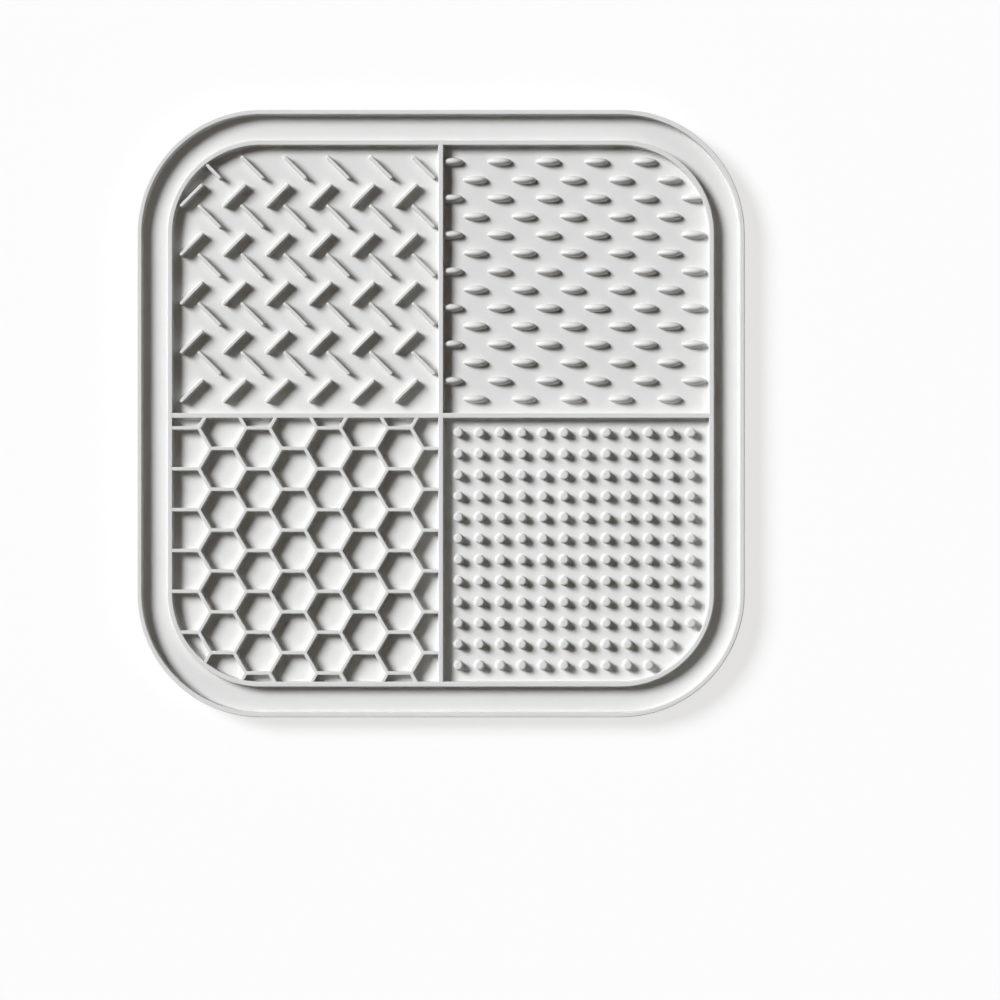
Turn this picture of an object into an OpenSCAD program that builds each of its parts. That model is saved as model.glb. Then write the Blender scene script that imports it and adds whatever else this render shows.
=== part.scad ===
// Square lick mat moulded in silicone, shown lying on its suction cups.
// Origin: middle of the mat on the surface that it rests on. +X is right, +Y is the back, +Z is up.

/* [Mat] */
// Width of the mat, left to right
mat_w = 200; // [180:1:240]
// Depth of the mat, front to back
mat_d = 200; // [180:1:240]
// Radius of the mat's outer corners
corner_r = 40.8; // [30:0.2:60]
// Thickness of the base sheet
base_t = 2; // [1.5:0.1:4]

/* [Lip and inner wall] */
// Thickness of the outer lip
lip_t = 1.6; // [1.2:0.1:3]
// Height of the outer lip above the floor
lip_h = 4; // [2:0.1:8]
// Width of the open channel between the lip and the inner wall
channel_w = 8.4; // [5:0.2:14]
// Thickness of the inner wall
wall_t = 1.7; // [1.2:0.1:3]
// Height of the inner wall and of the dividers above the floor
wall_h = 4; // [2:0.1:8]
// Radius that rounds the top edges of the lip, the wall and the dividers
edge_r = 0.4; // [0.1:0.05:0.5]

/* [Dividers] */
// Thickness of the two dividers
divider_t = 1.7; // [1.2:0.1:3]
// How far the cross divider lies in front of the mat's middle
divider_drop = 0.7; // [0:0.1:6]

/* [Herringbone ribs] */
// Length of a rib
rib_l = 10.4; // [6:0.1:12]
// Thickness of a rib
rib_t = 1.1; // [0.8:0.1:2]
// Height of a rib above the floor
rib_h = 3.7; // [2:0.1:6]
// Step from one column of ribs to the next
rib_step_x = 14.1; // [12:0.1:20]
// Step from one row of ribs to the next
rib_step_y = 16.1; // [14:0.1:24]
// How far a falling rib lies to the right of its rising rib
pair_step_x = 5.9; // [5.6:0.1:7]
// How far a falling rib lies behind its rising rib
pair_step_y = 9.2; // [8.6:0.1:10]
// How far the ribs lie to the right of their quarter's middle
rib_shift = 0.7; // [0:0.1:1.2]

/* [Oval nubs] */
// Length of a nub
nub_l = 7.8; // [5:0.1:10]
// Width of a nub
nub_w = 2.6; // [2:0.1:4]
// Height of a nub above the floor
nub_h = 3.1; // [2:0.1:6]
// Step between two nubs in one row
nub_step_x = 16; // [12:0.1:24]
// Step from one row of nubs to the next
nub_step_y = 6.02; // [5:0.02:9]
// How far the nubs lie to the left of their quarter's middle
nub_shift_x = 1.2; // [0:0.1:1.6]
// How far the nubs lie in front of their quarter's middle
nub_shift_y = 0.3; // [0:0.1:0.8]

/* [Honeycomb] */
// Step from one cell to the next one behind it
cell_step = 13.45; // [10:0.05:20]
// Thickness of the bars between the cells
bar_t = 1.2; // [0.8:0.1:2]
// Height of the bars above the floor
bar_h = 4; // [2:0.1:6]
// How far a cell's middle lies to the right of its quarter's middle
cell_shift_x = 7.65; // [4:0.05:10]
// How far that cell's middle lies behind its quarter's middle
cell_shift_y = 6.5; // [3:0.1:8]

/* [Round pegs] */
// Diameter of a peg
peg_d = 3; // [2:0.1:4]
// Height of a peg above the floor
peg_h = 3.4; // [2.2:0.1:6]
// Radius that rounds the top edge of a peg
peg_edge_r = 0.4; // [0.2:0.1:0.9]
// Step from one peg to the next, both ways
peg_step = 6.97; // [5:0.01:10]
// How far the pegs lie to the left of their quarter's middle
peg_shift_x = 0.5; // [0:0.1:1.5]
// How far the pegs lie behind their quarter's middle
peg_shift_y = 0.3; // [0:0.1:1]

/* [Suction cups] */
// Diameter of a cup at its rim
cup_d = 26; // [16:0.5:32]
// Diameter of a cup where it meets the base sheet
cup_neck_d = 20; // [8:0.5:20]
// Height of a cup below the base sheet
cup_h = 2.2; // [1.6:0.1:4]
// Depth of the hollow in a cup
cup_depth = 1.4; // [0.6:0.1:1.5]
// Width of the flat ring at a cup's rim
cup_rim = 0.8; // [0.4:0.1:1.5]
// Step from one cup to the next, both ways
cup_step = 36; // [33:0.5:44]

/* [Hidden] */
$fn = 48;
// Sides of the wide circle that hollows out a cup
ball_sides = 720;

// How far every cut runs past the face that it cuts
overrun = 1;
// Nearest that the middle of a nub or peg may come to the inner wall's rounded corner
corner_gap = 0.8;
// Angle of the herringbone ribs to the mat's edges
rib_angle = 45;
// Angle of the slanted honeycomb bars to the bars along X
bar_angle = 60;

// Height of the floor that the patterns stand on
floor_z = cup_h + base_t;

// Inside of the lip
lip_in_w = mat_w - 2 * lip_t;
lip_in_d = mat_d - 2 * lip_t;
lip_in_r = corner_r - lip_t;

// Outside and inside of the inner wall
wall_out_w = lip_in_w - 2 * channel_w;
wall_out_d = lip_in_d - 2 * channel_w;
wall_out_r = lip_in_r - channel_w;
wall_in_w = wall_out_w - 2 * wall_t;
wall_in_d = wall_out_d - 2 * wall_t;
wall_in_r = wall_out_r - wall_t;

// The four quarters between the dividers and the inner wall
divider_half = divider_t / 2;
quarter_w = wall_in_w / 2 - divider_half;
back_d = wall_in_d / 2 + divider_drop - divider_half;
front_d = wall_in_d / 2 - divider_drop - divider_half;
quarter_x = divider_half + quarter_w / 2;
back_y = divider_half - divider_drop + back_d / 2;
front_y = -divider_half - divider_drop - front_d / 2;

// How many ribs, nubs, pegs and cups fit
rib_cols = floor(quarter_w / rib_step_x);
rib_rows = floor(back_d / rib_step_y);
nub_cols = floor(quarter_w / nub_step_x) + 1;
nub_rows = floor(back_d / nub_step_y);
peg_cols = floor(quarter_w / peg_step);
peg_rows = floor(front_d / peg_step);
cup_cols = floor(mat_w / cup_step);
cup_rows = floor(mat_d / cup_step);

// Side of a honeycomb cell, and the step between its columns
cell_side = cell_step / sqrt(3);
cell_step_x = cell_side * 3 / 2;
// How far a bar's pointed end passes the corner of the cells, and where its sides stop
bar_tip = bar_t / sqrt(3);
bar_shoulder = bar_tip / 2;
cell_x = cell_shift_x - quarter_x;
cell_y = cell_shift_y + front_y;
// Columns of cells to the left and right of that cell, and rows enough to fill the quarter
cols_left = floor((cell_x + wall_in_w / 2) / cell_step_x);
cols_right = ceil((-divider_half - cell_x) / cell_step_x);
cell_rows = ceil(front_d / cell_step / 2) + 2;

// Evenly spaced places about a middle
function spread(count, step) = [for (i = [0:count - 1]) (i - (count - 1) / 2) * step];

// How far a point lies from the edge of a rounded outline, where one of its corners is near
function corner_room(x, y, w, d, r) =
    let (dx = abs(x) - w / 2 + r, dy = abs(y) - d / 2 + r)
    dx > 0 && dy > 0 ? r - sqrt(dx * dx + dy * dy) : r;
function wall_room(x, y) = corner_room(x, y, wall_in_w, wall_in_d, wall_in_r);

// Whether a nub keeps clear of the long divider and of the inner wall
function nub_is_clear(x, y) =
    x - nub_l / 2 > divider_half && x + nub_l / 2 < wall_in_w / 2 && wall_room(x, y) > nub_l;

module rounded_outline(w, d, r) {
    square([w - 2 * r, d], center = true);
    square([w, d - 2 * r], center = true);
    for (x = [-1, 1], y = [-1, 1]) {
        translate([x * (w / 2 - r), y * (d / 2 - r)])
            circle(r);
    }
}

// Cross section of an upright rail whose top edges are rounded, standing on the line y = 0
module rail_section(t, h) {
    translate([-t / 2, 0])
        square([t, h - edge_r]);
    translate([-t / 2 + edge_r, 0])
        square([t - 2 * edge_r, h]);
    for (side = [-1, 1]) {
        translate([side * (t / 2 - edge_r), h - edge_r])
            circle(edge_r);
    }
}

// An upright rail that runs round a rounded outline. w, d and r belong to its middle line.
module ring_rail(w, d, r, t, h) {
    for (side = [-1, 1]) {
        translate([side * w / 2, d / 2 - r, 0])
            rotate([90, 0, 0])
                linear_extrude(d - 2 * r)
                    rail_section(t, h);
        translate([-w / 2 + r, side * d / 2, 0])
            rotate([90, 0, 90])
                linear_extrude(w - 2 * r)
                    rail_section(t, h);
    }
    for (x = [-1, 1], y = [-1, 1]) {
        translate([x * (w / 2 - r), y * (d / 2 - r), 0])
            rotate([0, 0, x > 0 ? (y > 0 ? 0 : 270) : (y > 0 ? 90 : 180)])
                rotate_extrude(angle = 90)
                    translate([r, 0])
                        rail_section(t, h);
    }
}

// Area inside the inner wall, in the quarter to the left or right and in front or behind
module quarter_outline(right, behind) {
    intersection() {
        rounded_outline(wall_in_w, wall_in_d, wall_in_r);
        translate([
            right ? divider_half : -wall_in_w / 2 - overrun,
            behind ? divider_half - divider_drop : -wall_in_d / 2 - overrun
        ])
            square([quarter_w + overrun, (behind ? back_d : front_d) + overrun]);
    }
}

module base_sheet() {
    color("#f0efec")
        translate([0, 0, cup_h])
            linear_extrude(base_t)
                rounded_outline(mat_w, mat_d, corner_r);
}

module outer_lip() {
    color("#f3f2ef")
        translate([0, 0, floor_z])
            ring_rail(mat_w - lip_t, mat_d - lip_t, corner_r - lip_t / 2, lip_t, lip_h);
}

module inner_wall() {
    color("#f3f2ef")
        translate([0, 0, floor_z])
            ring_rail(wall_out_w - wall_t, wall_out_d - wall_t, wall_out_r - wall_t / 2, wall_t, wall_h);
}

module long_divider() {
    color("#f3f2ef")
        translate([0, wall_in_d / 2, floor_z])
            rotate([90, 0, 0])
                linear_extrude(wall_in_d)
                    rail_section(divider_t, wall_h);
}

module cross_divider() {
    color("#f3f2ef")
        for (x = [-wall_in_w / 2, divider_half]) {
            translate([x, -divider_drop, floor_z])
                rotate([90, 0, 90])
                    linear_extrude(quarter_w)
                        rail_section(divider_t, wall_h);
        }
}

module rib_outline() {
    square([rib_l - rib_t, rib_t], center = true);
    for (side = [-1, 1]) {
        translate([side * (rib_l - rib_t) / 2, 0])
            circle(rib_t / 2);
    }
}

// One family of herringbone ribs. side is -1 for the rising ribs and 1 for the falling ones.
module rib_field(side) {
    translate([0, 0, floor_z])
        linear_extrude(rib_h)
            intersection() {
                quarter_outline(false, true);
                for (x = spread(rib_cols, rib_step_x), y = spread(rib_rows, rib_step_y)) {
                    translate([
                        x - quarter_x + rib_shift + side * pair_step_x / 2,
                        y + back_y + side * pair_step_y / 2
                    ])
                        rotate(-side * rib_angle)
                            rib_outline();
                }
            }
}

module rising_ribs() {
    color("#efeeea")
        rib_field(-1);
}

module falling_ribs() {
    color("#efeeea")
        rib_field(1);
}

// A grain with an oval outline that lies along X, cut level through its middle
module half_grain(l, d) {
    rotate([90, 0, 90])
        rotate_extrude(angle = 180)
            intersection() {
                scale([1, l / d])
                    circle(d = d);
                translate([0, -l / 2])
                    square([d, l]);
            }
}

// A nub before it is drawn up to its height, cut back where it would run into a wall
module nub_blank(x, y) {
    if (nub_is_clear(x, y)) {
        translate([x, y, 0])
            half_grain(nub_l, nub_w);
    } else {
        intersection() {
            translate([x, y, 0])
                half_grain(nub_l, nub_w);
            translate([0, 0, -overrun])
                linear_extrude(nub_w + overrun)
                    quarter_outline(true, true);
        }
    }
}

// The grains are drawn up to the nubs' height, which makes them steep sided and round on top
module oval_nubs() {
    color("#efeeea")
        translate([0, 0, floor_z])
            scale([1, 1, nub_h / (nub_w / 2)])
                for (row = [0:nub_rows - 1], place = spread(nub_cols - row % 2, nub_step_x)) {
                    x = place + quarter_x - nub_shift_x;
                    y = back_y - nub_shift_y + ((nub_rows - 1) / 2 - row) * nub_step_y;
                    if (wall_room(x, y) > corner_gap) {
                        nub_blank(x, y);
                    }
                }
}

// A bar along X between two corners of the cells, with pointed ends that fill the corners.
// The first column's bars have no left corner, and run on to the inner wall.
module flat_bar(first) {
    left = first ? -cell_step_x : -cell_side / 2;
    polygon([
        [left - bar_tip, 0],
        [left + bar_shoulder, bar_t / 2],
        [cell_side / 2 - bar_shoulder, bar_t / 2],
        [cell_side / 2 + bar_tip, 0],
        [cell_side / 2 - bar_shoulder, -bar_t / 2],
        [left + bar_shoulder, -bar_t / 2]
    ]);
}

// One of the three directions of honeycomb bars, kept inside the front left quarter
module bar_field() {
    translate([0, 0, floor_z])
        linear_extrude(bar_h)
            intersection() {
                quarter_outline(false, false);
                for (col = [-cols_left:cols_right], row = [-cell_rows:cell_rows]) {
                    translate([
                        cell_x + col * cell_step_x,
                        cell_y + (row + (col % 2 == 0 ? 0 : 1 / 2)) * cell_step
                    ]) {
                        $first = col == -cols_left;
                        children();
                    }
                }
            }
}

module slanted_bar(side) {
    translate([cell_side * 3 / 4, side * cell_step / 4])
        rotate(-side * bar_angle)
            square([cell_side - 2 * bar_shoulder, bar_t], center = true);
}

module honeycomb_flat_bars() {
    color("#f1f0ed")
        bar_field()
            translate([0, cell_step / 2])
                flat_bar($first);
}

module honeycomb_rising_bars() {
    color("#f1f0ed")
        bar_field()
            slanted_bar(-1);
}

module honeycomb_falling_bars() {
    color("#f1f0ed")
        bar_field()
            slanted_bar(1);
}

module peg() {
    rotate_extrude() {
        square([peg_d / 2, peg_h - peg_edge_r]);
        square([peg_d / 2 - peg_edge_r, peg_h]);
        translate([peg_d / 2 - peg_edge_r, peg_h - peg_edge_r])
            circle(peg_edge_r);
    }
}

module round_pegs() {
    color("#efeeea")
        for (col = spread(peg_cols, peg_step), row = spread(peg_rows, peg_step)) {
            x = col + quarter_x - peg_shift_x;
            y = row + front_y + peg_shift_y;
            if (wall_room(x, y) > corner_gap) {
                translate([x, y, floor_z])
                    peg();
            }
        }
}

module suction_cup() {
    hollow_r = cup_d / 2 - cup_rim;
    ball_r = (hollow_r * hollow_r + cup_depth * cup_depth) / (2 * cup_depth);
    rotate_extrude()
        difference() {
            polygon([[0, 0], [cup_d / 2, 0], [cup_neck_d / 2, cup_h], [0, cup_h]]);
            translate([0, cup_depth - ball_r])
                circle(ball_r, $fn = ball_sides);
        }
}

module suction_cups() {
    color("#e9e8e4")
        for (x = spread(cup_cols, cup_step), y = spread(cup_rows, cup_step)) {
            if (corner_room(x, y, mat_w, mat_d, corner_r) > cup_d / 2) {
                translate([x, y, 0])
                    suction_cup();
            }
        }
}

base_sheet();
outer_lip();
inner_wall();
long_divider();
cross_divider();
rising_ribs();
falling_ribs();
oval_nubs();
honeycomb_flat_bars();
honeycomb_rising_bars();
honeycomb_falling_bars();
round_pegs();
suction_cups();
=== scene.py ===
import math

import bmesh
import bpy
import numpy as np
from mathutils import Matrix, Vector
from mathutils.geometry import delaunay_2d_cdt


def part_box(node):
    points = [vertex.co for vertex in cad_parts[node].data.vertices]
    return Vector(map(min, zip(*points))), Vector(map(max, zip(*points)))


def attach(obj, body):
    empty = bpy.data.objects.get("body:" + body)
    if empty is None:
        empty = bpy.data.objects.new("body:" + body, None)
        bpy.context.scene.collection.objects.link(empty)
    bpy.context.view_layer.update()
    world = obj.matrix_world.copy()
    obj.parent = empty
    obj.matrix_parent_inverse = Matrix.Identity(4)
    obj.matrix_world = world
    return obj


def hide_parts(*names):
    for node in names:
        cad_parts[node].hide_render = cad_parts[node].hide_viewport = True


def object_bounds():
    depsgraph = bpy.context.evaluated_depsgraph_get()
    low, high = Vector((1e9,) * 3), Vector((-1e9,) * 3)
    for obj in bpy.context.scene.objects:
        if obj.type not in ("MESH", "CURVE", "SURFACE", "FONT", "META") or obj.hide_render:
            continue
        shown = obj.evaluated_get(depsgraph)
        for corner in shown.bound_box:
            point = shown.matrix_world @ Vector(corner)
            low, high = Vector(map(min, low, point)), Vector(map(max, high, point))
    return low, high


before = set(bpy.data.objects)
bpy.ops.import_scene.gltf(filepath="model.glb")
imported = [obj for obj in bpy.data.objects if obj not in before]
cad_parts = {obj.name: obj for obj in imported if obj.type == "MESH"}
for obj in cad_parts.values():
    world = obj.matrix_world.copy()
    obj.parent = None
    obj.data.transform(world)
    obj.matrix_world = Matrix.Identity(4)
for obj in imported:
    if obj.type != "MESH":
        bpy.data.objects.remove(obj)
cad_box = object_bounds()

MM = 0.001
QUARTER_TURN = math.radians(90)
FULL_TURN = 4 * QUARTER_TURN

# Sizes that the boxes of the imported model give
SHEET_LOW, SHEET_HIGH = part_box("base_sheet")
LIP_LOW, LIP_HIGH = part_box("outer_lip")
WALL_LOW, WALL_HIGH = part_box("inner_wall")
LONG_LOW, LONG_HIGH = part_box("long_divider")
CROSS_LOW, CROSS_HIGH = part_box("cross_divider")
FLOOR_Z = SHEET_HIGH.z
MAT_W = LIP_HIGH.x - LIP_LOW.x
MAT_D = LIP_HIGH.y - LIP_LOW.y
WALL_W = WALL_HIGH.x - WALL_LOW.x
WALL_D = WALL_HIGH.y - WALL_LOW.y
LIP_H = LIP_HIGH.z - FLOOR_Z
WALL_H = WALL_HIGH.z - FLOOR_Z
DIVIDER_T = LONG_HIGH.x - LONG_LOW.x
CROSS_Y = (CROSS_LOW.y + CROSS_HIGH.y) / 2

# Sizes that a box can't give
CORNER_R = 40.8 * MM
LIP_T = 1.6 * MM
WALL_T = 1.7 * MM
RIB_T = 1.1 * MM
CELL_SIDES = 6
CELL_STEP = 13.45 * MM
CELL_SIDE = CELL_STEP / math.sqrt(3)
CELL_COLUMN_STEP = CELL_SIDE * 3 / 2
BAR_T = 1.2 * MM
CELL_SHIFT_X = 7.65 * MM
CELL_SHIFT_Y = 6.5 * MM

# Roundings: the concave foot of what stands on the floor, and the rounded edges
FOOT_R = 0.45 * MM
BAR_FOOT_R = 0.3 * MM
RAIL_EDGE_R = 0.3 * MM
RIB_EDGE_R = 0.25 * MM
BAR_EDGE_R = 0.22 * MM
CELL_CORNER_R = 0.42 * MM
SHEET_EDGE_R = 0.6 * MM
NUB_FOOT_R = 0.15 * MM
NUB_POWER = 2.4
PEG_DOME_H = 0.45 * MM
PEG_DOME_POWER = 4

# Suction cups: their rim, their neck, their hollow, and the pip in the middle of it
CUP_RIM_R = 0.25 * MM
CUP_RIM_FLAT = 0.3 * MM
CUP_NECK_R = 10 * MM
CUP_HOLLOW_H = 1.4 * MM
CUP_PIP_R = 1.1 * MM
CUP_PIP_TIP_R = 0.65 * MM
CUP_PIP_H = 0.25 * MM

# Steps of the curves
CORNER_STEPS = 40
BEND_STEPS = 4
END_STEPS = 14
NUB_STEPS = 40
PEG_STEPS = 16
DOME_STEPS = 9
CUP_STEPS = 36
HOLLOW_STEPS = 12

# How deep a foot sinks into the sheet, how far a rail's end reaches into the next rail,
# and how much lower than that rail it stays, so that no two faces lie in one plane
SINK = 0.06 * MM
BITE = 0.8 * MM
DROP = 0.02 * MM

# Points that lie nearer to each other than this are one point
WELD = 0.0005 * MM

# Faces that meet more steeply than this show a sharp edge
SHARP_ANGLE = math.radians(40)

# Silicone: its lighter and darker tone on the mat and on the cups, and how it reflects
MAT_LIGHT = (0.71, 0.7, 0.675)
MAT_SHADE = (0.695, 0.685, 0.66)
CUP_LIGHT = (0.69, 0.68, 0.655)
CUP_SHADE = (0.675, 0.665, 0.64)
SILICONE_IOR = 1.41
SILICONE_SPECULAR = 0.25

# The clouds in which the two tones mix: their size, and the noise levels between which they mix
CLOUD_SIZE = 28 * MM
CLOUD_DETAIL = 5
CLOUD_START = 0.35
CLOUD_END = 0.65

# Slow waves and a fine grain in its surface
WAVE_SIZE = 6 * MM
WAVE_DETAIL = 2
WAVE_STRENGTH = 0.05
WAVE_DEPTH = 0.05 * MM
GRAIN_SIZE = 0.22 * MM
GRAIN_DETAIL = 3
GRAIN_STRENGTH = 0.22
GRAIN_DEPTH = 0.012 * MM


class Skin:
    """The points and faces of one piece while it is being built."""

    def __init__(self):
        self.points = []
        self.faces = []

    def ring(self, points):
        """Adds points, and returns their places in the list of all points."""
        start = len(self.points)
        self.points.extend(points)
        return list(range(start, len(self.points)))

    def band(self, lower, upper):
        """Faces between two rings of as many points each."""
        for here in range(len(lower)):
            there = (here + 1) % len(lower)
            self.faces.append((lower[here], lower[there], upper[there], upper[here]))

    def stack(self, rings, capped=True):
        """A skin through rings of as many points each, from the foot up."""
        marks = [self.ring(points) for points in rings]
        for lower, upper in zip(marks, marks[1:]):
            self.band(lower, upper)
        if capped:
            self.faces.append(tuple(reversed(marks[0])))
            self.faces.append(tuple(marks[-1]))
        return marks

    def loop(self, rings):
        """A tube of rings that closes on itself."""
        marks = self.stack(rings, capped=False)
        self.band(marks[-1], marks[0])


def foot(radius):
    """A concave fillet up from the floor, as pairs of how far out and how high."""
    turns = [QUARTER_TURN * step / BEND_STEPS for step in range(BEND_STEPS + 1)]
    return [(radius * (1 - math.sin(turn)), radius * (1 - math.cos(turn))) for turn in turns]


def edge(radius, height):
    """A rounded edge up to a flat top, as pairs of how far out and how high."""
    turns = [QUARTER_TURN * step / BEND_STEPS for step in range(BEND_STEPS + 1)]
    return [(radius * (math.cos(turn) - 1), height + radius * (math.sin(turn) - 1)) for turn in turns]


def rounded_outline(width, depth, radius, z):
    """Points round a rounded rectangle about the origin."""
    points = []
    for quarter, (side_x, side_y) in enumerate(((1, 1), (-1, 1), (-1, -1), (1, -1))):
        middle_x = side_x * (width / 2 - radius)
        middle_y = side_y * (depth / 2 - radius)
        for step in range(CORNER_STEPS + 1):
            turn = QUARTER_TURN * (quarter + step / CORNER_STEPS)
            points.append((middle_x + radius * math.cos(turn), middle_y + radius * math.sin(turn), z))
    return points


def slot_outline(middle, straight, radius, angle, z):
    """Points round a slot shape: a straight stretch between two round ends, turned by angle."""
    points = []
    for side in (1, -1):
        for step in range(END_STEPS + 1):
            turn = (step / END_STEPS * 2 - side) * QUARTER_TURN
            x = side * straight / 2 + radius * math.cos(turn)
            y = radius * math.sin(turn)
            points.append((
                middle[0] + x * math.cos(angle) - y * math.sin(angle),
                middle[1] + x * math.sin(angle) + y * math.cos(angle),
                z,
            ))
    return points


def oval_outline(middle, half_l, half_w, z, steps):
    """Points round an oval that lies along X."""
    turns = [FULL_TURN * step / steps for step in range(steps)]
    return [
        (middle.x + half_l * math.cos(turn), middle.y + half_w * math.sin(turn), z)
        for turn in turns
    ]


def rail_section(thickness, height, edge_r, outer_foot, inner_foot):
    """Half a rail's section outside its middle line and half inside it, up, over and down."""
    outer = [(0, 0)]
    if outer_foot:
        outer = [(outer_foot, -SINK)] + foot(outer_foot)
    outer += edge(edge_r, height)
    inner = [(inner_foot, -SINK)] + foot(inner_foot) + edge(edge_r, height)
    return (
        [(thickness / 2 + out, high) for out, high in outer]
        + [(-thickness / 2 - out, high) for out, high in reversed(inner)]
    )


def solid_boxes(node):
    """The lowest and highest corner of each separate solid of a CAD node."""
    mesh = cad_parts[node].data
    places = np.array([vertex.co for vertex in mesh.vertices])
    _, same = np.unique(np.round(places / WELD), axis=0, return_inverse=True)
    same = same.ravel()
    leader = list(range(same.max() + 1))

    def head(mark):
        while leader[mark] != mark:
            leader[mark] = leader[leader[mark]]
            mark = leader[mark]
        return mark

    for mesh_edge in mesh.edges:
        first, second = (head(same[vertex]) for vertex in mesh_edge.vertices)
        leader[max(first, second)] = min(first, second)
    groups = {}
    for vertex, mark in enumerate(same):
        groups.setdefault(head(mark), []).append(vertex)
    return [(places[group].min(0), places[group].max(0)) for group in groups.values()]


def add_noise(nodes, links, place, size, detail):
    """Noise of a size in metres, read at place."""
    noise = nodes.new("ShaderNodeTexNoise")
    noise.inputs["Scale"].default_value = 1 / size
    noise.inputs["Detail"].default_value = detail
    links.new(place, noise.inputs["Vector"])
    return noise.outputs["Fac"]


def add_bump(nodes, links, noise, strength, depth):
    """Noise as a bump, which can be laid over another bump."""
    bump = nodes.new("ShaderNodeBump")
    bump.inputs["Strength"].default_value = strength
    bump.inputs["Distance"].default_value = depth
    links.new(noise, bump.inputs["Height"])
    return bump


def silicone(name, light, shade, smooth, rough):
    """Off-white silicone from an eroded mould: a fine grain, a faint cloudiness and a soft gloss."""
    material = bpy.data.materials.new(name)
    material.use_nodes = True
    nodes = material.node_tree.nodes
    links = material.node_tree.links
    shader = nodes["Principled BSDF"]
    place = nodes.new("ShaderNodeTexCoord").outputs["Object"]

    cloud = add_noise(nodes, links, place, CLOUD_SIZE, CLOUD_DETAIL)
    tone = nodes.new("ShaderNodeValToRGB")
    tone.color_ramp.elements[0].position = CLOUD_START
    tone.color_ramp.elements[0].color = (*shade, 1)
    tone.color_ramp.elements[1].position = CLOUD_END
    tone.color_ramp.elements[1].color = (*light, 1)
    links.new(cloud, tone.inputs["Fac"])
    links.new(tone.outputs["Color"], shader.inputs["Base Color"])

    wave = add_noise(nodes, links, place, WAVE_SIZE, WAVE_DETAIL)
    waves = add_bump(nodes, links, wave, WAVE_STRENGTH, WAVE_DEPTH)
    grain = add_noise(nodes, links, place, GRAIN_SIZE, GRAIN_DETAIL)
    grains = add_bump(nodes, links, grain, GRAIN_STRENGTH, GRAIN_DEPTH)
    links.new(waves.outputs["Normal"], grains.inputs["Normal"])
    links.new(grains.outputs["Normal"], shader.inputs["Normal"])

    gloss = nodes.new("ShaderNodeMapRange")
    gloss.inputs["To Min"].default_value = smooth
    gloss.inputs["To Max"].default_value = rough
    links.new(grain, gloss.inputs["Value"])
    links.new(gloss.outputs["Result"], shader.inputs["Roughness"])

    shader.inputs["IOR"].default_value = SILICONE_IOR
    shader.inputs["Specular IOR Level"].default_value = SILICONE_SPECULAR
    return material


# The last two numbers are the least and the greatest roughness
MATERIALS = {
    "silicone_sheet": silicone("sheet_silicone", MAT_LIGHT, MAT_SHADE, 0.5, 0.62),
    "silicone_walls": silicone("wall_silicone", MAT_LIGHT, MAT_SHADE, 0.48, 0.6),
    "silicone_patterns": silicone("pattern_silicone", MAT_LIGHT, MAT_SHADE, 0.46, 0.58),
    "silicone_cups": silicone("cup_silicone", CUP_LIGHT, CUP_SHADE, 0.36, 0.48),
}


def add_piece(name, skin, slot, *replaced):
    """Makes a piece of the mat from a skin and gives it its place in the frame."""
    shape = bmesh.new()
    corners = [shape.verts.new(point) for point in skin.points]
    for face in skin.faces:
        shape.faces.new([corners[mark] for mark in face])
    bmesh.ops.remove_doubles(shape, verts=shape.verts, dist=WELD)
    bmesh.ops.recalc_face_normals(shape, faces=shape.faces)
    mesh = bpy.data.meshes.new(name)
    shape.to_mesh(mesh)
    shape.free()
    mesh.shade_smooth()
    mesh.set_sharp_from_angle(angle=SHARP_ANGLE)
    mesh.materials.append(MATERIALS[slot])
    piece = bpy.data.objects.new(name, mesh)
    bpy.context.scene.collection.objects.link(piece)
    even = piece.modifiers.new("even_shading", "WEIGHTED_NORMAL")
    even.keep_sharp = True
    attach(piece, "root")
    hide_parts(*replaced)


def build_sheet():
    skin = Skin()
    rings = []
    for out, high in reversed(edge(SHEET_EDGE_R, 0)):
        width = MAT_W + 2 * out
        depth = MAT_D + 2 * out
        rings.append(rounded_outline(width, depth, CORNER_R + out, SHEET_LOW.z - high))
    rings.append(rounded_outline(MAT_W, MAT_D, CORNER_R, FLOOR_Z))
    skin.stack(rings)
    add_piece("moulded_sheet", skin, "silicone_sheet", "base_sheet")


def ring_rail(width, depth, radius, thickness, height, outer_foot):
    """A rail round a rounded outline. Width, depth and radius belong to its outside."""
    rings = []
    for out, high in rail_section(thickness, height, RAIL_EDGE_R, outer_foot, FOOT_R):
        wider = out - thickness / 2
        outline = rounded_outline(width + 2 * wider, depth + 2 * wider, radius + wider, FLOOR_Z + high)
        rings.append(outline)
    skin = Skin()
    skin.loop(rings)
    return skin


def build_lip():
    skin = ring_rail(MAT_W, MAT_D, CORNER_R, LIP_T, LIP_H, 0)
    add_piece("raised_lip", skin, "silicone_walls", "outer_lip")


def build_wall():
    radius = CORNER_R - (MAT_W - WALL_W) / 2
    skin = ring_rail(WALL_W, WALL_D, radius, WALL_T, WALL_H, FOOT_R)
    add_piece("ring_wall", skin, "silicone_walls", "inner_wall")


def straight_rail(skin, start, end, thickness, height):
    """A rail from start to end, whose ends are closed."""
    along = (end - start).normalized()
    across = Vector((along.y, -along.x))
    section = rail_section(thickness, height, RAIL_EDGE_R, FOOT_R, FOOT_R)
    skin.stack([
        [(*(place + across * out), FLOOR_Z + high) for out, high in section]
        for place in (start, end)
    ])


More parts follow.
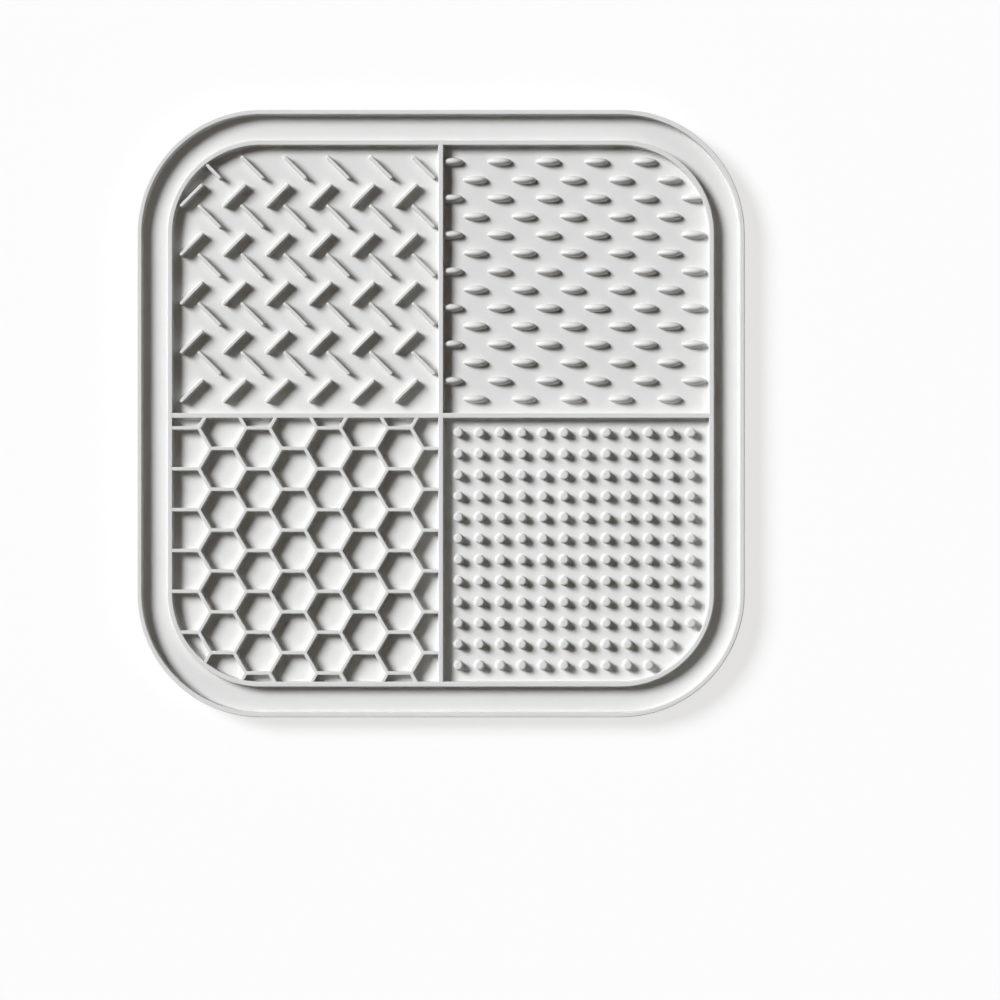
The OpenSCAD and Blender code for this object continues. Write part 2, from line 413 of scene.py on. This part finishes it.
def build_dividers():
    back = WALL_HIGH.y - WALL_T + BITE
    right = WALL_HIGH.x - WALL_T + BITE
    inner = DIVIDER_T / 2 - BITE
    skin = Skin()
    straight_rail(skin, Vector((0, -back)), Vector((0, back)), DIVIDER_T, WALL_H - DROP)
    add_piece("divider_back_to_front", skin, "silicone_walls", "long_divider")
    skin = Skin()
    for side in (-1, 1):
        start = Vector((side * inner, CROSS_Y))
        end = Vector((side * right, CROSS_Y))
        straight_rail(skin, start, end, DIVIDER_T, WALL_H - 2 * DROP)
    add_piece("divider_left_to_right", skin, "silicone_walls", "cross_divider")


def build_ribs(name, node, side):
    """Ribs that rise to the right where side is 1, and fall where it is -1."""
    skin = Skin()
    for low, high in solid_boxes(node):
        length = (high[0] - low[0] - RIB_T) * math.sqrt(2)
        bottom = Vector((low[0] if side > 0 else high[0], low[1])) + Vector((side, 1)) * RIB_T / 2
        middle = bottom + Vector((side, 1)).normalized() * length / 2
        height = high[2] - FLOOR_Z
        section = [(FOOT_R, -SINK)] + foot(FOOT_R) + edge(RIB_EDGE_R, height)
        skin.stack([
            slot_outline(middle, length, RIB_T / 2 + out, side * QUARTER_TURN / 2, FLOOR_Z + up)
            for out, up in section
        ])
    add_piece(name, skin, "silicone_patterns", node)


def nub_section(height):
    """A nub's section from its foot up: the share of its full size, the foot's flare and how high."""
    section = [(1, NUB_FOOT_R, -SINK)]
    for step in range(BEND_STEPS + DOME_STEPS):
        turn = QUARTER_TURN * step / (BEND_STEPS + DOME_STEPS)
        up = height * math.sin(turn) ** (2 / NUB_POWER)
        flare = NUB_FOOT_R - math.sqrt(NUB_FOOT_R ** 2 - max(NUB_FOOT_R - up, 0) ** 2)
        section.append((math.cos(turn) ** (2 / NUB_POWER), flare, up))
    return section


def build_nubs():
    """Nubs like grains cut level through their middle. One that runs into a wall goes on into it."""
    skin = Skin()
    boxes = solid_boxes("oval_nubs")
    full_l = max(high[0] - low[0] for low, high in boxes)
    full_w = max(high[1] - low[1] for low, high in boxes)
    for low, high in boxes:
        starts_in_divider = low[0] < DIVIDER_T
        middle_x = high[0] - full_l / 2 if starts_in_divider else low[0] + full_l / 2
        middle = Vector((middle_x, (low[1] + high[1]) / 2))
        rings = []
        for share, flare, up in nub_section(high[2] - FLOOR_Z):
            half_l = full_l / 2 * share + flare
            half_w = full_w / 2 * share + flare
            rings.append(oval_outline(middle, half_l, half_w, FLOOR_Z + up, NUB_STEPS))
        skin.stack(rings)
    add_piece("oval_nub_field", skin, "silicone_patterns", "oval_nubs")


def build_pegs():
    """Round pegs with a concave foot and a nearly flat, rounded top."""
    skin = Skin()
    for low, high in solid_boxes("round_pegs"):
        middle = Vector((low[0] + high[0], low[1] + high[1])) / 2
        radius = (high[0] - low[0]) / 2
        shoulder = high[2] - FLOOR_Z - PEG_DOME_H
        section = [(radius + FOOT_R, -SINK)]
        section += [(radius + out, up) for out, up in foot(FOOT_R)]
        for step in range(DOME_STEPS):
            share = math.cos(QUARTER_TURN * step / DOME_STEPS) ** (2 / PEG_DOME_POWER)
            up = PEG_DOME_H * math.sqrt(1 - share ** PEG_DOME_POWER)
            section.append((radius * share, shoulder + up))
        skin.stack([
            oval_outline(middle, wide, wide, FLOOR_Z + up, 2 * PEG_STEPS)
            for wide, up in section
        ])
    add_piece("round_peg_field", skin, "silicone_patterns", "round_pegs")


def clip(outline, normal, reach):
    """The part of a convex outline whose points lie no further than reach along normal."""
    kept = []
    for here, there in zip(outline, outline[1:] + outline[:1]):
        room_here = reach - here.dot(normal)
        room_there = reach - there.dot(normal)
        if room_here >= 0:
            kept.append(here)
        if room_here * room_there < 0:
            kept.append(here.lerp(there, room_here / (room_here - room_there)))
    return kept


def quarter_sides():
    """The walls round the honeycomb's quarter, each as its outward normal and its reach."""
    inside_x = WALL_W / 2 - WALL_T
    inside_y = WALL_D / 2 - WALL_T
    inside_r = CORNER_R - (MAT_W - WALL_W) / 2 - WALL_T
    sides = [(Vector((1, 0)), -DIVIDER_T / 2), (Vector((0, 1)), CROSS_Y - DIVIDER_T / 2)]
    corner = Vector((inside_r - inside_x, inside_r - inside_y))
    for step in range(CORNER_STEPS + 1):
        turn = QUARTER_TURN * (2 + step / CORNER_STEPS)
        normal = Vector((math.cos(turn), math.sin(turn)))
        sides.append((normal, corner.dot(normal) + inside_r))
    return sides


def outline_within(sides):
    """The convex outline that sides bound, each given as a normal and a reach."""
    corners = ((-1, -1), (1, -1), (1, 1), (-1, 1))
    outline = [Vector((side_x * MAT_W, side_y * MAT_D)) for side_x, side_y in corners]
    for normal, reach in sides:
        outline = clip(outline, normal, reach)
    return [
        here for here, there in zip(outline, outline[1:] + outline[:1])
        if (there - here).length > WELD
    ]


def corner_fans(outline):
    """For each point of an outline, that point with the directions that its rounded corner takes."""
    fans = []
    for before, here, after in zip(outline[-1:] + outline[:-1], outline, outline[1:] + outline[:1]):
        start = math.atan2(before.x - here.x, here.y - before.y)
        turn = (math.atan2(here.x - after.x, after.y - here.y) - start) % FULL_TURN
        count = max(1, round(turn / QUARTER_TURN * 2 * BEND_STEPS))
        for step in range(count + 1):
            direction = start + turn * step / count
            fans.append((here, Vector((math.cos(direction), math.sin(direction)))))
    return fans


def cell_middles():
    """The middle of every cell that may lie in the quarter, and whether it is in the first column."""
    quarter_left = -WALL_W / 2 + WALL_T
    quarter_front = -WALL_D / 2 + WALL_T
    cell_x = (quarter_left - DIVIDER_T / 2) / 2 + CELL_SHIFT_X
    cell_y = (quarter_front + CROSS_Y - DIVIDER_T / 2) / 2 + CELL_SHIFT_Y
    first = -math.floor((cell_x - quarter_left) / CELL_COLUMN_STEP)
    last = math.ceil(-cell_x / CELL_COLUMN_STEP)
    rows = math.ceil(WALL_D / CELL_STEP)
    for column in range(first, last + 1):
        for row in range(-rows, rows + 1):
            x = cell_x + column * CELL_COLUMN_STEP
            y = cell_y + (row + column % 2 / 2) * CELL_STEP
            yield Vector((x, y)), column == first


def cell_sides(middle, in_first_column):
    """The bars round a cell, each as its outward normal and its reach.

    A cell of the first column is open to the left, as far as the wall.
    """
    sides = []
    for step in range(CELL_SIDES):
        turn = math.radians(360 / CELL_SIDES * (step + 0.5))
        normal = Vector((math.cos(turn), math.sin(turn)))
        if in_first_column and normal.x < -WELD:
            continue
        sides.append((normal, middle.dot(normal) + (CELL_STEP - BAR_T) / 2 - CELL_CORNER_R))
    return sides


def fill_between(skin, loops):
    """Fills one level of the web, which lies inside the first loop and outside all the others."""
    marks = [mark for loop in loops for mark in loop]
    owners = [owner for owner, loop in enumerate(loops) for _ in loop]
    edges = []
    for loop in loops:
        start = len(edges)
        count = len(loop)
        edges.extend((start + here, start + (here + 1) % count) for here in range(count))
    flat = [Vector(skin.points[mark][:2]) for mark in marks]
    _, _, faces, origins, _, _ = delaunay_2d_cdt(flat, edges, [], 1, WELD)
    for face in faces:
        corners = [origins[corner][0] for corner in face]
        # A face with all its corners on one loop fills a cell, so it is left out
        if len({owners[corner] for corner in corners}) > 1:
            skin.faces.append(tuple(marks[corner] for corner in corners))


def build_honeycomb():
    """One web of bars: the walls of every cell, with the bars' tops and undersides filled in between."""
    walls = quarter_sides()
    height = WALL_H - 3 * DROP
    section = [(out - CELL_CORNER_R, up) for out, up in [(BAR_FOOT_R, -SINK)] + foot(BAR_FOOT_R)]
    section += [(out - CELL_CORNER_R, up) for out, up in edge(BAR_EDGE_R, height)]
    skin = Skin()
    outer = outline_within([(normal, reach + BITE) for normal, reach in walls])
    loops = [[skin.ring([(*point, FLOOR_Z + up) for point in outer]) for up in (-SINK, height)]]
    skin.band(*loops[0])
    for middle, in_first_column in cell_middles():
        sides = [(normal, reach + BITE / 2 - CELL_CORNER_R) for normal, reach in walls]
        sides += cell_sides(middle, in_first_column)
        fans = corner_fans(outline_within(sides))
        if not fans:
            continue
        marks = [
            skin.ring([(*(point - direction * out), FLOOR_Z + up) for point, direction in fans])
            for out, up in section
        ]
        for lower, upper in zip(marks, marks[1:]):
            skin.band(upper, lower)
        loops.append([marks[0], marks[-1]])
    for level_loops in zip(*loops):
        fill_between(skin, level_loops)
    add_piece(
        "honeycomb_web", skin, "silicone_patterns",
        "honeycomb_flat_bars", "honeycomb_rising_bars", "honeycomb_falling_bars",
    )


def cup_section(rim, top):
    """A cup's section from the middle of its hollow, over the rim and up its neck to the sheet."""
    hollow = rim - 2 * CUP_RIM_R - CUP_RIM_FLAT
    ball = (hollow ** 2 + CUP_HOLLOW_H ** 2) / (2 * CUP_HOLLOW_H)
    pip_z = CUP_HOLLOW_H - CUP_PIP_H
    section = [(0, pip_z), (CUP_PIP_TIP_R, pip_z)]
    for step in range(HOLLOW_STEPS):
        wide = CUP_PIP_R + (hollow - CUP_PIP_R) * step / (HOLLOW_STEPS - 1)
        section.append((wide, CUP_HOLLOW_H - ball + math.sqrt(ball ** 2 - wide ** 2)))
    for step in range(2 * BEND_STEPS + 1):
        turn = QUARTER_TURN * step / BEND_STEPS
        section.append((
            rim - CUP_RIM_R + CUP_RIM_R * math.sin(turn),
            CUP_RIM_R - CUP_RIM_R * math.cos(turn),
        ))
    for step in range(1, 2 * BEND_STEPS + 1):
        turn = QUARTER_TURN * step / (2 * BEND_STEPS)
        section.append((
            rim - CUP_RIM_R - (rim - CUP_RIM_R - CUP_NECK_R) * math.sin(turn),
            2 * CUP_RIM_R + (top - 2 * CUP_RIM_R) * (1 - math.cos(turn)),
        ))
    section.append((CUP_NECK_R, top + SINK))
    return section


def build_cups():
    """Suction cups: a neck that sweeps out to a thin rim, with a shallow polished hollow."""
    skin = Skin()
    for low, high in solid_boxes("suction_cups"):
        middle = Vector((low[0] + high[0], low[1] + high[1])) / 2
        skin.stack([
            oval_outline(middle, wide, wide, up, 2 * CUP_STEPS)
            for wide, up in cup_section((high[0] - low[0]) / 2, high[2])
        ])
    add_piece("suction_cup_field", skin, "silicone_cups", "suction_cups")


build_sheet()
build_lip()
build_wall()
build_dividers()
build_ribs("ribs_that_rise", "rising_ribs", 1)
build_ribs("ribs_that_fall", "falling_ribs", -1)
build_nubs()
build_honeycomb()
build_pegs()
build_cups()

# The camera looks straight down, as in the photo. Pixels are those of its 1000 by 1000 frame.
FRAME_PIXELS = 1000
PIXEL = 0.3291 * MM
MAT_PIXEL_X = 440.8
MAT_PIXEL_Y = 413.4
CAMERA_HEIGHT = 1.6
CAMERA_REACH = 10
SENSOR_WIDTH = 36


def build_camera():
    data = bpy.data.cameras.new("camera")
    data.sensor_width = SENSOR_WIDTH
    data.lens = SENSOR_WIDTH * (CAMERA_HEIGHT - cad_box[1].z) / (FRAME_PIXELS * PIXEL)
    data.clip_end = CAMERA_REACH
    camera = bpy.data.objects.new("camera", data)
    camera.location = (
        (FRAME_PIXELS / 2 - MAT_PIXEL_X) * PIXEL,
        (MAT_PIXEL_Y - FRAME_PIXELS / 2) * PIXEL,
        CAMERA_HEIGHT,
    )
    bpy.context.scene.collection.objects.link(camera)
    bpy.context.scene.camera = camera


# One broad soft lamp from the back left, with a faint warm fill from the room. What looks up
# from below the floor sees the underside lit by a second lamp, which the floor keeps off the rest.
LAMP_AZIMUTH = math.radians(30)
LAMP_ELEVATION = math.radians(40.5)
LAMP_WIDTH = math.radians(24)
LAMP_COLOR = (0.97, 1, 1.04)
FLOOR_LIGHT = 0.93
FILL_COLOR = (1, 0.62, 0.2)
FILL_STRENGTH = 0.02
UNDER_AZIMUTH = math.radians(60)
UNDER_ELEVATION = math.radians(-35)
UNDER_LIGHT = 0.45
UNDER_STRENGTH = 0.3

# The paper on the floor: the white that the camera sees, the tone that light meets, and how much
# of what the camera sees is that lit tone, with the mat's shadow on it
PAPER_WHITE = 0.973
PAPER_TONE = 0.97
SHADOW_SHARE = 0.25
LIT_PAPER = [
    PAPER_TONE * (FLOOR_LIGHT * lamp + FILL_STRENGTH * fill)
    for lamp, fill in zip(LAMP_COLOR, FILL_COLOR)
]
PAPER_GLOW = [(PAPER_WHITE - SHADOW_SHARE * lit) / (1 - SHADOW_SHARE) for lit in LIT_PAPER]
FLOOR_REACH = 4


def build_lamp(name, azimuth, elevation, level, color):
    """A far soft lamp that lights a level surface to the given level. Azimuth goes from -X to +Y."""
    data = bpy.data.lights.new(name, "SUN")
    data.angle = LAMP_WIDTH
    data.color = color
    data.energy = level * math.pi / abs(math.sin(elevation))
    lamp = bpy.data.objects.new(name, data)
    toward_lamp = Vector((
        -math.cos(azimuth) * math.cos(elevation),
        math.sin(azimuth) * math.cos(elevation),
        math.sin(elevation),
    ))
    lamp.rotation_euler = toward_lamp.to_track_quat("Z", "Y").to_euler()
    bpy.context.scene.collection.objects.link(lamp)


def add_math(nodes, links, operation, first, second):
    """A step of arithmetic kept between 0 and 1. Each input is a number or another node's output."""
    node = nodes.new("ShaderNodeMath")
    node.operation = operation
    node.use_clamp = True
    for socket, value in zip(node.inputs, (first, second)):
        if isinstance(value, (int, float)):
            socket.default_value = value
        else:
            links.new(value, socket)
    return node.outputs[0]


def add_mix(nodes, links, share, first, second):
    """The first surface where share is 0, and the second where it is 1."""
    mix = nodes.new("ShaderNodeMixShader")
    links.new(share, mix.inputs["Fac"])
    links.new(first, mix.inputs[1])
    links.new(second, mix.inputs[2])
    return mix.outputs[0]


def add_background(nodes, color, strength):
    background = nodes.new("ShaderNodeBackground")
    background.inputs["Color"].default_value = (*color, 1)
    background.inputs["Strength"].default_value = strength
    return background.outputs[0]


def build_world():
    """White where the camera, gloss or glass sees it, a faint warm fill above, and light from below."""
    world = bpy.data.worlds.new("studio")
    bpy.context.scene.world = world
    world.use_nodes = True
    nodes = world.node_tree.nodes
    links = world.node_tree.links
    nodes.remove(nodes["Background"])

    place = nodes.new("ShaderNodeTexCoord").outputs["Generated"]
    split = nodes.new("ShaderNodeSeparateXYZ")
    links.new(place, split.inputs["Vector"])
    below = add_math(nodes, links, "LESS_THAN", split.outputs["Z"], 0)
    fill = add_background(nodes, FILL_COLOR, FILL_STRENGTH)
    under = add_background(nodes, (1, 1, 1), UNDER_STRENGTH)
    light = add_mix(nodes, links, below, fill, under)

    path = nodes.new("ShaderNodeLightPath").outputs
    seen = add_math(nodes, links, "MAXIMUM", path["Is Camera Ray"], path["Is Glossy Ray"])
    seen = add_math(nodes, links, "MAXIMUM", seen, path["Is Transmission Ray"])
    white = add_background(nodes, (1, 1, 1), PAPER_WHITE)
    links.new(add_mix(nodes, links, seen, light, white), nodes["World Output"].inputs["Surface"])


def white_paper():
    """Paper that shows the mat's shadow from above and is clear from below."""
    material = bpy.data.materials.new("white_paper")
    material.use_nodes = True
    nodes = material.node_tree.nodes
    links = material.node_tree.links
    path = nodes.new("ShaderNodeLightPath").outputs

    lit = nodes["Principled BSDF"]
    lit.inputs["Base Color"].default_value = (PAPER_TONE, PAPER_TONE, PAPER_TONE, 1)
    lit.inputs["Roughness"].default_value = 1
    lit.inputs["Specular IOR Level"].default_value = 0
    glow = nodes.new("ShaderNodeEmission")
    glow.inputs["Color"].default_value = (*PAPER_GLOW, 1)
    share = add_math(nodes, links, "MULTIPLY", path["Is Camera Ray"], 1 - SHADOW_SHARE)
    paper = add_mix(nodes, links, share, lit.outputs[0], glow.outputs[0])

    from_below = nodes.new("ShaderNodeNewGeometry").outputs["Backfacing"]
    passed = add_math(nodes, links, "ADD", from_below, path["Transparent Depth"])
    clear = nodes.new("ShaderNodeBsdfTransparent").outputs[0]
    surface = add_mix(nodes, links, passed, paper, clear)
    links.new(surface, nodes["Material Output"].inputs["Surface"])
    return material


def build_floor():
    """A plain white floor, a hair below the mat."""
    mesh = bpy.data.meshes.new("floor")
    sides = ((-1, -1), (1, -1), (1, 1), (-1, 1))
    corners = [(side_x * FLOOR_REACH, side_y * FLOOR_REACH, -SINK) for side_x, side_y in sides]
    mesh.from_pydata(corners, [], [(0, 1, 2, 3)])
    mesh.materials.append(white_paper())
    floor = bpy.data.objects.new("floor", mesh)
    bpy.context.scene.collection.objects.link(floor)


build_camera()
build_lamp("softbox", LAMP_AZIMUTH, LAMP_ELEVATION, FLOOR_LIGHT, LAMP_COLOR)
build_lamp("under_softbox", UNDER_AZIMUTH, UNDER_ELEVATION, UNDER_LIGHT, LAMP_COLOR)
build_world()
build_floor()
bpy.context.scene.view_settings.view_transform = "Standard"
